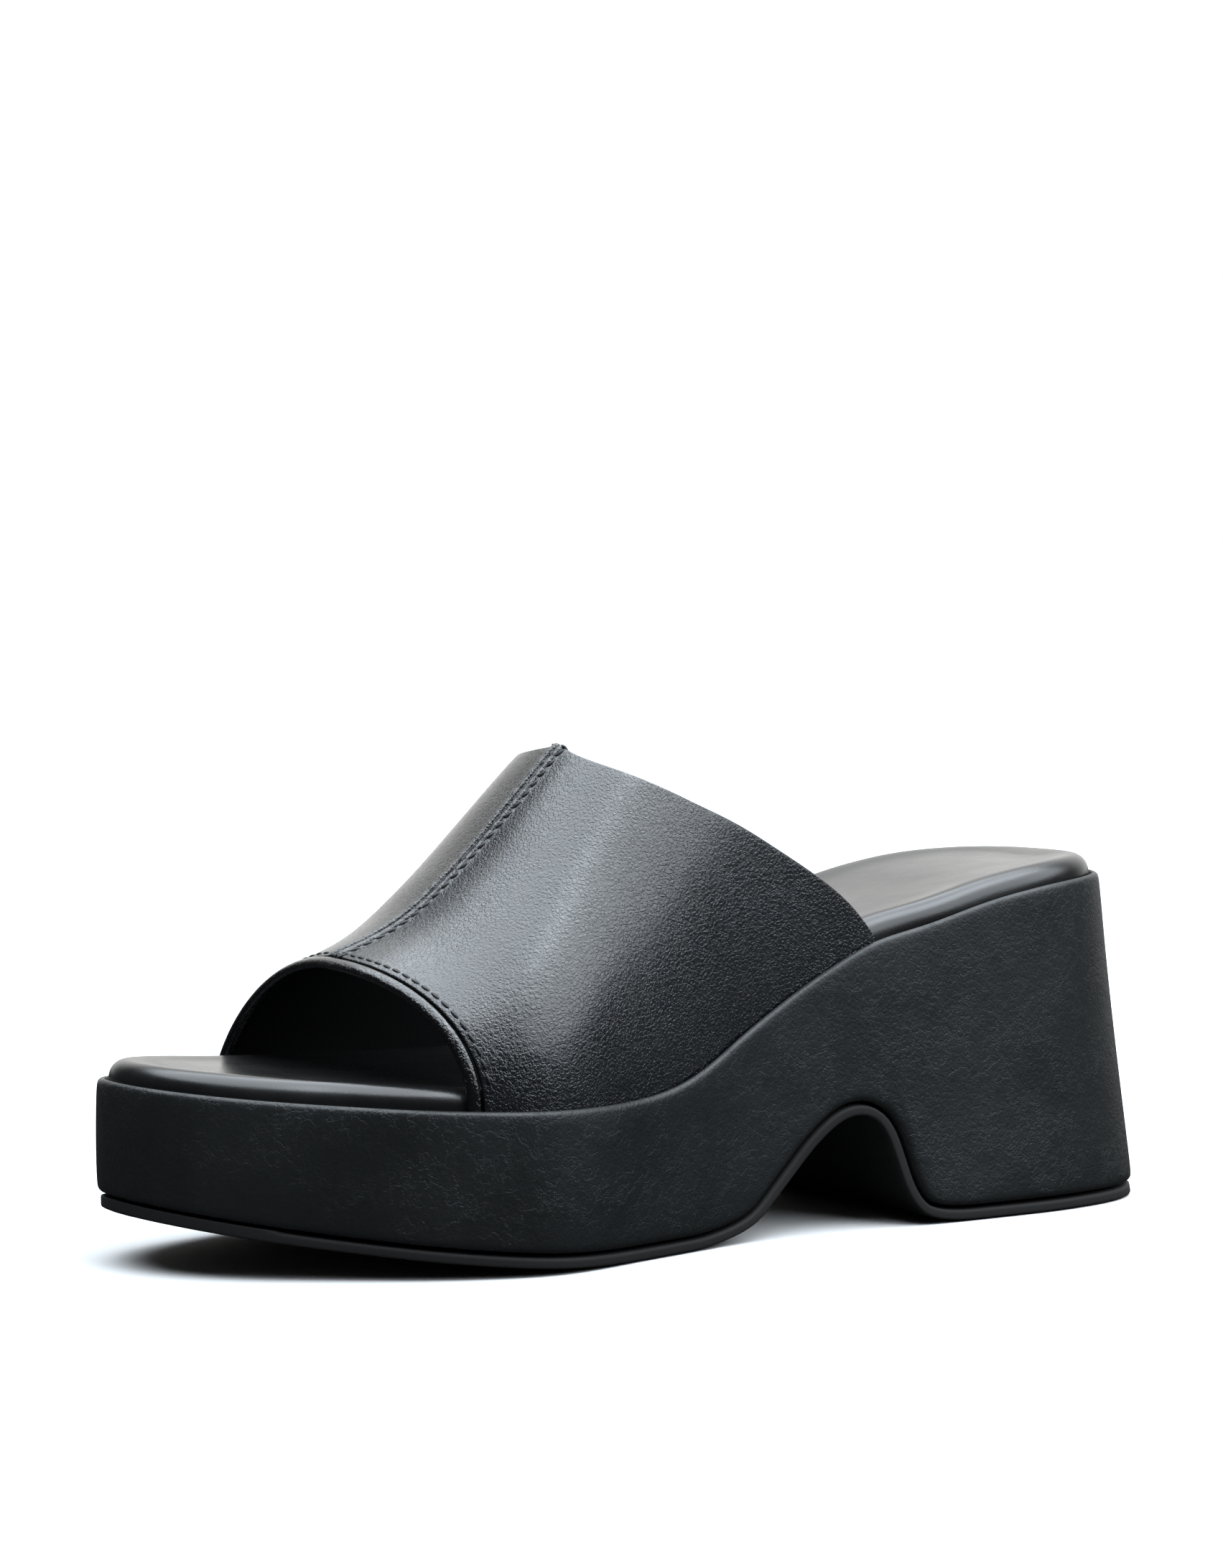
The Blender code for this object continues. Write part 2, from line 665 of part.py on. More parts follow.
def stand_on_origin(pieces):
    """Moves the shoe so that the middle of its box, on the floor, is the origin."""
    corners = np.array([vertex.co for piece in pieces for vertex in piece.data.vertices])
    low, high = corners.min(axis=0), corners.max(axis=0)
    middle = (low + high) / 2
    for piece in pieces:
        piece.location = (-middle[0], -middle[1], -low[2])


def build():
    """Builds the whole shoe."""
    clear_scene()
    wrap = finish("black wrap leather", (0.016, 0.020, 0.022), 0.42)
    vamp = finish("black vamp leather", (0.018, 0.020, 0.024), 0.36)
    stand_on_origin([
        build_outsole(finish("black rubber", (0.012, 0.012, 0.013), 0.75)),
        build_platform(wrap),
        build_footbed(finish("black lining leather", (0.020, 0.020, 0.021), 0.45)),
        build_upper(vamp),
        build_toe_binding(finish("black binding leather", (0.017, 0.018, 0.020), 0.32)),
    ])


build()
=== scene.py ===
# %% [markdown]
# # A platform mule in black leather
#
# This lesson dresses one left shoe: a slip-on mule with an open toe, a thick wrapped platform and
# a block heel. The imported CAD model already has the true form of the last, so every piece here
# starts from it. What is added is what a shoemaker adds: rounded folds, soft padding, grain,
# creases, seams and stitches.

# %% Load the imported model
import math

import bmesh
import bpy
from mathutils import Matrix, Vector, kdtree


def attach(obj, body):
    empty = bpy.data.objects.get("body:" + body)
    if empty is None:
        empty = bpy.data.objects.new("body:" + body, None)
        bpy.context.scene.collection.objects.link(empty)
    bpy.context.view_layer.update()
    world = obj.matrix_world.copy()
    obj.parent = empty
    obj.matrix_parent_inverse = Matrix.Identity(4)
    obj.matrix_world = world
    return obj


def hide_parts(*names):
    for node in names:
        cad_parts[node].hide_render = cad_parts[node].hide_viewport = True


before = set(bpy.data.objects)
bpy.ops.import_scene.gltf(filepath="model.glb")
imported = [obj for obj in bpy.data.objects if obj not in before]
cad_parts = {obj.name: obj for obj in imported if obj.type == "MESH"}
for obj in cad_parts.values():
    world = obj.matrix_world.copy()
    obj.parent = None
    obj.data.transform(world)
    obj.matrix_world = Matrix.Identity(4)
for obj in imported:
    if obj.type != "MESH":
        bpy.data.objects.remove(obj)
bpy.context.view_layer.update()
MM = 0.001

# %% [markdown]
# ## The camera
#
# The shoe is photographed from its outer front quarter with the toe to the left, from just above
# the sole. A long lens keeps the perspective gentle. The camera's place, its turn and its tilt are
# all that is needed, because a camera looks along its own minus Z.

# %% Camera at the photograph's angle
CAMERA_PLACE = (464.74 * MM, 716.8 * MM, 134.5 * MM)
CAMERA_YAW = math.radians(32.31)
CAMERA_TILT = math.radians(2.35)
CAMERA_LENS = 87.5

bpy.ops.object.camera_add(location=CAMERA_PLACE)
camera = bpy.context.object
back = Vector((
    math.sin(CAMERA_YAW) * math.cos(CAMERA_TILT),
    math.cos(CAMERA_YAW) * math.cos(CAMERA_TILT),
    math.sin(CAMERA_TILT),
))
camera.rotation_mode = "QUATERNION"
camera.rotation_quaternion = (-back).to_track_quat("-Z", "Y")
camera.data.lens = CAMERA_LENS
camera.data.sensor_width = 36.0
camera.data.clip_start = 10 * MM
bpy.context.scene.camera = camera
print("camera looks along", [round(-c, 3) for c in back])

# %% [markdown]
# ## The studio
#
# Black leather has next to no colour of its own, so its form is read from what it mirrors. The
# photograph's studio has a very large softbox overhead, a panel to the right of the shoe, a white
# backdrop behind it, and darkness on the camera's side. All of them are far larger than the shoe,
# so they can be painted on the world as soft patches of light around chosen directions, which is
# simpler than placing lamps. The camera itself sees plain white instead.

# %% Soft lights on the world
OVERHEAD = ((0.88, 0.96, 1.03), (0.02, -0.08, 1.00), 45, 33, 6.8)
RIGHT_PANEL = ((0.90, 0.97, 1.03), (-0.45, 0.52, 0.73), 36, 29, 5.3)
BACKDROP = ((1.00, 1.00, 0.98), (-0.65, -0.73, 0.21), 56, 18, 1.35)
ROOM = ((1.0, 1.0, 1.0), 0.05)


def light_patch(tree, colour, direction, edge, core, strength):
    """Light of a colour round a direction: full inside the core's angle, none beyond the edge's."""
    view = tree.nodes.new("ShaderNodeTexCoord").outputs["Generated"]
    dot = tree.nodes.new("ShaderNodeVectorMath")
    dot.operation = "DOT_PRODUCT"
    dot.inputs[1].default_value = Vector(direction).normalized()
    tree.links.new(view, dot.inputs[0])
    fade = tree.nodes.new("ShaderNodeMapRange")
    fade.interpolation_type = "SMOOTHSTEP"
    fade.inputs["From Min"].default_value = math.cos(math.radians(edge))
    fade.inputs["From Max"].default_value = math.cos(math.radians(core))
    fade.inputs["To Max"].default_value = strength
    tree.links.new(dot.outputs["Value"], fade.inputs["Value"])
    light = tree.nodes.new("ShaderNodeBackground")
    light.inputs["Color"].default_value = (*colour, 1.0)
    tree.links.new(fade.outputs["Result"], light.inputs["Strength"])
    return light.outputs[0]


world = bpy.data.worlds.new("studio")
world.use_nodes = True
bpy.context.scene.world = world
tree = world.node_tree
room = tree.nodes["Background"]
room.inputs["Color"].default_value = (*ROOM[0], 1.0)
room.inputs["Strength"].default_value = ROOM[1]
studio_light = room.outputs[0]
for patch in (OVERHEAD, RIGHT_PANEL, BACKDROP):
    both = tree.nodes.new("ShaderNodeAddShader")
    tree.links.new(studio_light, both.inputs[0])
    tree.links.new(light_patch(tree, *patch), both.inputs[1])
    studio_light = both.outputs[0]
seen_white = tree.nodes.new("ShaderNodeBackground")
seen_white.inputs["Color"].default_value = (1.0, 1.0, 1.0, 1.0)
ray = tree.nodes.new("ShaderNodeLightPath")
choice = tree.nodes.new("ShaderNodeMixShader")
tree.links.new(ray.outputs["Is Camera Ray"], choice.inputs[0])
tree.links.new(studio_light, choice.inputs[1])
tree.links.new(seen_white.outputs[0], choice.inputs[2])
tree.links.new(choice.outputs[0], tree.nodes["World Output"].inputs["Surface"])
bpy.context.scene.view_settings.view_transform = "Standard"
print("patches of light:", len([n for n in tree.nodes if n.type == "MAP_RANGE"]))

# %% [markdown]
# The floor is wide enough to reach the horizon, and it is lit a little past white, so that it runs
# into the backdrop without an edge and only the contact shadow shows. A sheen would darken it far
# away, so it has none. The leather's gloss sees a painted reflection instead of the paper: a floor
# painted dark round the shoe and a little lighter to the right, so the shoe's walls stay nearly black.

# %% Floor
FLOOR_SIZE = 60.0
PAPER_WHITE = 0.50
GLOSS_FADE_FROM = 0.25
GLOSS_FADE_TO = 0.60
# Colours of the painted reflection: the floor as the leather's gloss sees it, near the shoe and far to the
# right.
PAINTED_REFLECTION_NEAR = 0.01
PAINTED_REFLECTION_FAR = 0.09
TO_THE_RIGHT = (-0.91, 0.42, 0.0)

bpy.ops.mesh.primitive_plane_add(size=FLOOR_SIZE)
floor = bpy.context.object
floor.name = "studio_floor"
paper = bpy.data.materials.new("pale paper")
paper.use_nodes = True
tree = paper.node_tree
paper_shader = tree.nodes["Principled BSDF"]
paper_shader.inputs["Base Color"].default_value = (PAPER_WHITE, PAPER_WHITE, PAPER_WHITE, 1.0)
paper_shader.inputs["Roughness"].default_value = 1.0
paper_shader.inputs["Specular IOR Level"].default_value = 0.0
# Painted reflection: only glossy rays see this diffuse floor, which is painted dark near the shoe and
# lighter to the right.
painted_reflection_floor = tree.nodes.new("ShaderNodeBsdfDiffuse")
where = tree.nodes.new("ShaderNodeTexCoord").outputs["Object"]
rightward = tree.nodes.new("ShaderNodeVectorMath")
rightward.operation = "DOT_PRODUCT"
rightward.inputs[1].default_value = TO_THE_RIGHT
tree.links.new(where, rightward.inputs[0])
shade = tree.nodes.new("ShaderNodeMapRange")
shade.interpolation_type = "SMOOTHSTEP"
shade.inputs["From Min"].default_value = GLOSS_FADE_FROM
shade.inputs["From Max"].default_value = GLOSS_FADE_TO
shade.inputs["To Min"].default_value = PAINTED_REFLECTION_NEAR
shade.inputs["To Max"].default_value = PAINTED_REFLECTION_FAR
tree.links.new(rightward.outputs["Value"], shade.inputs["Value"])
tree.links.new(shade.outputs["Result"], painted_reflection_floor.inputs["Color"])
ray = tree.nodes.new("ShaderNodeLightPath")
choice = tree.nodes.new("ShaderNodeMixShader")
tree.links.new(ray.outputs["Is Glossy Ray"], choice.inputs[0])
tree.links.new(paper_shader.outputs[0], choice.inputs[1])
tree.links.new(painted_reflection_floor.outputs[0], choice.inputs[2])
tree.links.new(choice.outputs[0], tree.nodes["Material Output"].inputs["Surface"])
floor.data.materials.append(paper)

# %% [markdown]
# ## A small kit for materials
#
# Every finish on the shoe is black, so the differences are in the relief and the gloss. A helper
# makes a material with its shader and its coordinates, and others add a noise or a cell pattern
# at a size in millimetres. All patterns read Object coordinates, which are metres here.

# %% Material helpers
def new_finish(name, colour, roughness):
    """A material with its shader, and the Object coordinates that its patterns read."""
    material = bpy.data.materials.new(name)
    material.use_nodes = True
    shader = material.node_tree.nodes["Principled BSDF"]
    shader.inputs["Base Color"].default_value = (*colour, 1.0)
    shader.inputs["Roughness"].default_value = roughness
    place = material.node_tree.nodes.new("ShaderNodeTexCoord").outputs["Object"]
    return material, shader, place


def node(material, kind, **values):
    """Adds a node and sets its properties, or its input sockets where a name is one."""
    made = material.node_tree.nodes.new(kind)
    for key, value in values.items():
        socket = made.inputs.get(key.replace("_", " ").title())
        if socket is not None and not hasattr(made, key):
            socket.default_value = value
        else:
            setattr(made, key, value)
    return made


def join(material, output, socket):
    """Links an output to a socket."""
    material.node_tree.links.new(output, socket)


def noise(material, place, size, detail=3.0, roughness=0.55, stretch=(1.0, 1.0, 1.0)):
    """Soft clouds of a size in metres, stretched along the axes; gives a value near 0.5."""
    mapping = node(material, "ShaderNodeMapping")
    mapping.inputs["Scale"].default_value = tuple(1.0 / (size * s) for s in stretch)
    texture = node(material, "ShaderNodeTexNoise", scale=1.0, detail=detail, roughness=roughness)
    join(material, place, mapping.inputs["Vector"])
    join(material, mapping.outputs[0], texture.inputs["Vector"])
    return texture.outputs["Fac"]


def cells(material, place, size, feature="F1", warp=0.0):
    """Cells of a size in metres, their walls bent by noise; gives the distance read."""
    mapping = node(material, "ShaderNodeMapping")
    mapping.inputs["Scale"].default_value = (1.0 / size,) * 3
    bent = node(material, "ShaderNodeTexNoise", scale=1.3, detail=2.0)
    mixed = node(material, "ShaderNodeMixRGB", blend_type="LINEAR_LIGHT")
    mixed.inputs["Fac"].default_value = warp
    texture = node(material, "ShaderNodeTexVoronoi", feature=feature, scale=1.0)
    join(material, place, mapping.inputs["Vector"])
    join(material, mapping.outputs[0], bent.inputs["Vector"])
    join(material, mapping.outputs[0], mixed.inputs["Color1"])
    join(material, bent.outputs["Color"], mixed.inputs["Color2"])
    join(material, mixed.outputs[0], texture.inputs["Vector"])
    return texture.outputs["Distance"]


def between(material, value, low, high, start, end):
    """Maps a value from one range to another, smoothly and clamped."""
    mapped = node(material, "ShaderNodeMapRange", interpolation_type="SMOOTHSTEP")
    sockets = ("From Min", "From Max", "To Min", "To Max")
    for socket, number in zip(sockets, (low, high, start, end)):
        mapped.inputs[socket].default_value = number
    join(material, value, mapped.inputs["Value"])
    return mapped.outputs["Result"]


def lines_of(material, value, width):
    """Winding lines where a noise passes its middle: 0 on a line and 1 beside it."""
    past = node(material, "ShaderNodeMath", operation="SUBTRACT")
    past.inputs[1].default_value = 0.5
    either = node(material, "ShaderNodeMath", operation="ABSOLUTE")
    join(material, value, past.inputs[0])
    join(material, past.outputs[0], either.inputs[0])
    return between(material, either.outputs[0], 0.0, width, 0.0, 1.0)


def relief(material, height, depth, strength=1.0, under=None, fading=None):
    """A bump of a depth in metres over what lies under it, faded by a value; gives the normal."""
    bump = node(material, "ShaderNodeBump")
    bump.inputs["Strength"].default_value = strength
    bump.inputs["Distance"].default_value = depth
    if fading is not None:
        faded = node(material, "ShaderNodeMath", operation="MULTIPLY")
        join(material, height, faded.inputs[0])
        join(material, fading, faded.inputs[1])
        height = faded.outputs[0]
    join(material, height, bump.inputs["Height"])
    if under is not None:
        join(material, under, bump.inputs["Normal"])
    return bump.outputs["Normal"]


def tint(material, shader, share, dark, light):
    """Mixes two colours by a share and paints the shader with them."""
    mix = node(material, "ShaderNodeMix", data_type="RGBA")
    mix.inputs["A"].default_value = (*dark, 1.0)
    mix.inputs["B"].default_value = (*light, 1.0)
    join(material, share, mix.inputs["Factor"])
    join(material, mix.outputs["Result"], shader.inputs["Base Color"])


# %% [markdown]
# ## The vamp's leather
#
# The upper is a smooth calf with a fine pebble: cells about a millimetre across, so shallow that
# they only break the highlight up. Larger soft clouds make the hide uneven, and the gloss changes
# with them. A thin clear coat stands for the dressing that gives black leather its second sheen.

# %% Vamp and binding leather
PEBBLE_SIZE = 1.0 * MM
PEBBLE_DEPTH = 0.08 * MM
CREASE_SIZE = 5.0 * MM


def calf(name, dark, light, gloss):
    """Smooth calf with a pebble and a few creases; gloss is its lowest and highest roughness."""
    leather, shader, place = new_finish(name, light, gloss[0])
    clouds = noise(leather, place, 14 * MM, detail=4)
    pebbles = cells(leather, place, PEBBLE_SIZE, feature="DISTANCE_TO_EDGE", warp=0.6)
    creases = lines_of(leather, noise(leather, place, CREASE_SIZE, detail=4), 0.02)
    pores = noise(leather, place, 0.35 * MM, detail=2)
    tint(leather, shader, clouds, dark, light)
    join(leather, between(leather, clouds, 0.3, 0.7, *gloss), shader.inputs["Roughness"])
    skin = relief(leather, clouds, 0.5 * MM, 0.25)
    skin = relief(leather, creases, 0.05 * MM, 0.5, skin)
    skin = relief(leather, between(leather, pebbles, 0.0, 0.3, 0.0, 1.0), PEBBLE_DEPTH, 0.7, skin)
    skin = relief(leather, pores, 0.02 * MM, 0.5, skin)
    join(leather, skin, shader.inputs["Normal"])
    shader.inputs["Coat Weight"].default_value = 0.15
    shader.inputs["Coat Roughness"].default_value = 0.2
    return leather


VAMP_COLOURS = ((0.0011, 0.0015, 0.0022), (0.0022, 0.0030, 0.0042))
BINDING_COLOURS = ((0.0010, 0.0011, 0.0013), (0.0020, 0.0022, 0.0026))
vamp_leather = calf("vamp leather", *VAMP_COLOURS, (0.22, 0.28))
binding_leather = calf("binding leather", *BINDING_COLOURS, (0.17, 0.21))

# %% [markdown]
# ## The wrap's leather
#
# The platform is wrapped in a softer, milled leather. Its grain is coarser, with short lines that
# run every way, and it has a cool cast. The creases are the places where a noise passes its
# middle value, which gives winding lines, and a larger noise lets them fade in and out.

# %% Wrap leather
wrap_leather, shader, place = new_finish("wrap leather", (0.014, 0.018, 0.019), 0.45)
clouds = noise(wrap_leather, place, 22 * MM, detail=5)
grain = cells(wrap_leather, place, 1.6 * MM, feature="DISTANCE_TO_EDGE", warp=0.7)
creases = lines_of(wrap_leather, noise(wrap_leather, place, 4.2 * MM, detail=5, roughness=0.62), 0.04)
showing = between(wrap_leather, noise(wrap_leather, place, 11 * MM), 0.38, 0.62, 0.15, 1.0)
pores = noise(wrap_leather, place, 0.4 * MM, detail=2)
tint(wrap_leather, shader, clouds, (0.0030, 0.0036, 0.0038), (0.0062, 0.0072, 0.0077))
join(wrap_leather, between(wrap_leather, clouds, 0.3, 0.7, 0.37, 0.46), shader.inputs["Roughness"])
skin = relief(wrap_leather, clouds, 0.8 * MM, 0.3)
skin = relief(wrap_leather, creases, 0.1 * MM, 0.6, skin, fading=showing)
skin = relief(wrap_leather, between(wrap_leather, grain, 0.0, 0.25, 0.0, 1.0), 0.045 * MM, 0.6, skin)
skin = relief(wrap_leather, pores, 0.03 * MM, 0.5, skin)
join(wrap_leather, skin, shader.inputs["Normal"])
shader.inputs["Specular IOR Level"].default_value = 0.26

# %% [markdown]
# ## Footbed leather, lining, rubber and thread
#
# The footbed's cover is the smoothest leather of the shoe, the lining is dull, the outsole is
# matt moulded rubber, and the thread is waxed polyester.

# %% Footbed leather
footbed_leather, shader, place = new_finish("footbed leather", (0.016, 0.016, 0.017), 0.42)
clouds = noise(footbed_leather, place, 18 * MM, detail=4)
pores = noise(footbed_leather, place, 0.5 * MM, detail=3)
tint(footbed_leather, shader, clouds, (0.0025, 0.0025, 0.0026), (0.0050, 0.0050, 0.0052))
gloss = between(footbed_leather, clouds, 0.3, 0.7, 0.24, 0.31)
join(footbed_leather, gloss, shader.inputs["Roughness"])
skin = relief(footbed_leather, clouds, 0.5 * MM, 0.2)
skin = relief(footbed_leather, pores, 0.04 * MM, 0.5, skin)
join(footbed_leather, skin, shader.inputs["Normal"])
shader.inputs["Specular IOR Level"].default_value = 0.4

# %% [markdown]
# The lining is a thin pigskin with a dull nap. It lies in the shade of the vamp, so it needs little
# more than darkness and a fine unevenness.

# %% Lining
# The same dull finish is also put on the bottom of the seam's groove as painted shade.
lining, shader, place = new_finish("lining", (0.005, 0.005, 0.005), 0.7)
nap = noise(lining, place, 0.6 * MM, detail=4)
tint(lining, shader, nap, (0.0015, 0.0015, 0.0015), (0.004, 0.004, 0.004))
shader.inputs["Specular IOR Level"].default_value = 0.1
join(lining, relief(lining, nap, 0.06 * MM, 0.6), shader.inputs["Normal"])

# %% [markdown]
# The outsole's rubber is moulded in a sanded tool, which leaves a fine matt speckle.

# %% Rubber
rubber, shader, place = new_finish("outsole rubber", (0.012, 0.012, 0.013), 0.7)
speckle = noise(rubber, place, 0.5 * MM, detail=3)
tint(rubber, shader, speckle, (0.004, 0.004, 0.004), (0.007, 0.007, 0.007))
join(rubber, relief(rubber, speckle, 0.05 * MM, 0.6), shader.inputs["Normal"])
shader.inputs["Specular IOR Level"].default_value = 0.2

# %% [markdown]
# The thread is twisted and waxed, so it has a soft gloss and a relief far finer than a stitch.

# %% Thread
thread, shader, place = new_finish("waxed thread", (0.0015, 0.0017, 0.002), 0.45)
twist = noise(thread, place, 0.25 * MM, detail=2)
join(thread, relief(thread, twist, 0.05 * MM, 0.7), shader.inputs["Normal"])
shader.inputs["Specular IOR Level"].default_value = 0.3
print("finishes:", sorted(m.name for m in bpy.data.materials if m.users == 0))

# %% [markdown]
# ## From CAD nodes to soft pieces
#
# A CAD node is a shell of loose triangles. A copy of it is merged and its triangles are joined
# into quads, so that a bevel and a subdivision surface round it the way leather rounds over a
# hard edge. The node itself stays hidden for the physics.

# %% Working on meshes
MERGE_DISTANCE = 0.005 * MM
QUAD_ANGLE = math.radians(60)


def only(*objects):
    """Selects these objects alone; the last one is active."""
    bpy.ops.object.select_all(action="DESELECT")
    for piece in objects:
        piece.select_set(True)
    bpy.context.view_layer.objects.active = objects[-1]


def copy_of(node_name, name):
    """A copy of a CAD node with its own mesh, merged and joined into quads."""
    piece = bpy.data.objects.new(name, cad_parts[node_name].data.copy())
    bpy.context.scene.collection.objects.link(piece)
    only(piece)
    piece.data.materials.clear()
    bpy.ops.mesh.customdata_custom_splitnormals_clear()
    bpy.ops.object.mode_set(mode="EDIT")
    bpy.ops.mesh.select_all(action="SELECT")
    bpy.ops.mesh.remove_doubles(threshold=MERGE_DISTANCE)
    bpy.ops.mesh.tris_convert_to_quads(face_threshold=QUAD_ANGLE, shape_threshold=QUAD_ANGLE)
    bpy.ops.object.mode_set(mode="OBJECT")
    sides = [len(face.vertices) for face in piece.data.polygons]
    print(name, "starts with", sides.count(4), "quads and", sides.count(3), "triangles")
    return piece


def apply_modifier(piece, kind, **settings):
    """Adds a modifier with these settings and applies it."""
    only(piece)
    modifier = piece.modifiers.new(kind, kind)
    for key, value in settings.items():
        setattr(modifier, key, value)
    bpy.ops.object.modifier_apply(modifier=modifier.name)


def wear(piece, material, slot_name, *node_names):
    """Finishes a piece: its material, smooth shading, its body and what it replaces; slot_name is not used.
    """
    piece.data.materials.append(material)
    only(piece)
    bpy.ops.object.shade_smooth()
    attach(piece, "root")
    if node_names:
        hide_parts(*node_names)
    print(piece.name, "has", sum(len(f.vertices) - 2 for f in piece.data.polygons), "triangles")


# %% [markdown]
# ## Platform
#
# The wrap is one skin drawn over platform and heel. Its edges are rounded, its walls are a touch
# uneven where the leather was pulled round, and its rim stands up round the footbed.

# %% Platform wrap
platform = copy_of("platform", "platform_wrap")
apply_modifier(platform, "SUBSURF", levels=2, render_levels=2)
wear(platform, wrap_leather, "platform", "platform")

# %% [markdown]
# ## Outsole
#
# The outsole is a thin sheet of moulded rubber glued under the wrap. Its cut edge is crisp, so a
# fine bevel is added before the subdivision.

# %% Outsole
OUTSOLE_BEVEL = {"width": 0.3 * MM, "segments": 2, "limit_method": "ANGLE", "angle_limit": math.radians(50)}

outsole = copy_of("outsole", "outsole_rubber")
apply_modifier(outsole, "BEVEL", **OUTSOLE_BEVEL)
apply_modifier(outsole, "SUBSURF", levels=1, render_levels=1)
wear(outsole, rubber, "outsole", "outsole")

# %% [markdown]
# ## Footbed
#
# The footbed is a foam pad under a leather cover whose edge is rolled over. The pad is firm and
# thin, so its swell is taken from a subdivision surface over the CAD's crowned form.

# %% Footbed
footbed = copy_of("footbed", "footbed_pad")
apply_modifier(footbed, "SUBSURF", levels=2, render_levels=2)
wear(footbed, footbed_leather, "footbed", "footbed")

# %% [markdown]
# ## Lines to sew along
#
# Stitches need lines to follow. The seam's line is the bottom of the groove, and the toe's line is
# the outer edge of the opening. Both are found on the CAD's own points before anything is rounded.

# %% Lines to sew along
GROOVE_EDGE = 0.35 * MM
EDGE_FOLD = math.radians(60)
TOE_EDGE_FROM = 60 * MM
TRAY_TOP = 36 * MM
FOOT_MIDDLE = 2 * MM
RAY_HEIGHT = 4 * MM


def from_foot(point):
    """The way from the middle of the foot, seen along the shoe, to a point."""
    return Vector((0.0, point.y - FOOT_MIDDLE, point.z - TRAY_TOP))


def seam_line(piece):
    """Bottom of the seam's groove, whose edges are the shortest, from the collar to the toe."""
    mesh = bmesh.new()
    mesh.from_mesh(piece.data)
    line = []
    for vertex in mesh.verts:
        short = [edge for edge in vertex.link_edges if edge.calc_length() < GROOVE_EDGE]
        if len(short) == 2 and vertex.normal.dot(from_foot(vertex.co)) > 0:
            line.append((vertex.co.copy(), vertex.normal.copy()))
    mesh.free()
    return sorted(line, key=lambda place: place[0].x)


def toe_edge_line(piece):
    """Outer edge of the upper at the toe opening, from its outer to its inner foot."""
    mesh = bmesh.new()
    mesh.from_mesh(piece.data)
    line = {}
    for edge in mesh.edges:
        if edge.calc_face_angle(0.0) < EDGE_FOLD:
            continue
        for vertex in edge.verts:
            out = from_foot(vertex.co)
            if vertex.co.x > TOE_EDGE_FROM and out.z > 0 and vertex.normal.dot(out) > 0:
                line[vertex.index] = (vertex.co.copy(), out.normalized())
    mesh.free()
    return sorted(line.values(), key=lambda place: math.atan2(place[1].z, place[1].y))


def walk(line, step, start=0.0, end=0.0):
    """Places at even steps along a line: point, way onward and way outward."""
    lengths = [0.0]
    for (here, _), (there, _) in zip(line, line[1:]):
        lengths.append(lengths[-1] + (there - here).length)
    run = lengths[-1] - start - end
    count = max(1, round(run / step))
    places = []
    for number in range(count + 1):
        way = start + run * number / count
        i = max(n for n in range(len(line) - 1) if lengths[n] <= way + 1e-9)
        share = (way - lengths[i]) / (lengths[i + 1] - lengths[i])
        (here, out), (there, next_out) = line[i], line[i + 1]
        onward = (there - here).normalized()
        outward = out.lerp(next_out, share).normalized()
        places.append((here.lerp(there, share), onward, outward))
    return places


def on_surface(host, point, onward, outward, aside):
    """The place and the normal of a surface beside a line, found with a ray from outside."""
    across = onward.cross(outward).normalized()
    origin = point + across * aside + outward * RAY_HEIGHT
    hit, place, normal, _ = host.ray_cast(origin, -outward)
    return (place, normal) if hit else (None, None)


# %% [markdown]
# ## Vamp
#
# The band is cut from two leathers that meet along the ridge. The CAD shell already has its curve,
# its wall and its open ends. A small bevel keeps the cut edges crisp when the surface is
# subdivided. The lining is glued to the inside, so the faces that look at the foot get the lining's
# finish.

# %% Vamp
VAMP_BEVEL = {"width": 0.45 * MM, "segments": 2, "limit_method": "ANGLE", "angle_limit": math.radians(55)}
LOOKS_AT_FOOT = -0.3

vamp = copy_of("upper", "vamp")
seam = seam_line(vamp)
toe_edge = toe_edge_line(vamp)
apply_modifier(vamp, "BEVEL", **VAMP_BEVEL)
apply_modifier(vamp, "SUBSURF", levels=2, render_levels=2)
wear(vamp, vamp_leather, "upper", "upper")
vamp.data.materials.append(lining)
for face in vamp.data.polygons:
    if face.normal.dot(from_foot(face.center).normalized()) < LOOKS_AT_FOOT:
        face.material_index = 1
print("seam points:", len(seam), "toe edge points:", len(toe_edge))

# %% [markdown]
# The groove of the seam is a deep slit between two folded edges, and no gloss comes out of it. The
# few faces at its bottom get the lining's dark, dull finish as painted shade for the depth of the slit.

# %% Groove bottom in painted shade
GROOVE_REACH = 0.5 * MM

groove_places = walk(seam, GROOVE_REACH)
groove = kdtree.KDTree(len(groove_places))
for number, (point, _, _) in enumerate(groove_places):
    groove.insert(point, number)
groove.balance()
painted_shade_faces = 0
# Painted shade: faces near the groove's line take the lining's dull finish.
for face in vamp.data.polygons:
    if groove.find(face.center)[2] < GROOVE_REACH:
        face.material_index = 1
        painted_shade_faces += 1
print("faces in the groove:", painted_shade_faces)

# %% [markdown]
# ## Seam
#
# On the real shoe the two leathers are folded back along the ridge and sewn down on both sides, so
# two narrow strips stand up beside the groove and pucker between the stitches. A flat grid is
# laid over the vamp for each strip: its points are put on the surface with rays, and lifted by a
# low arch that is pulled down at each stitch.

# %% Puckered strips
STITCH_PITCH = 3.1 * MM
STRIP_INNER = 0.42 * MM
STRIP_OUTER = 2.55 * MM
STRIP_LIFT = 0.55 * MM
STRIP_SINK = 0.12 * MM
PUCKER = 0.4
STRIP_STEPS = 6
PUCKER_STEPS = 5


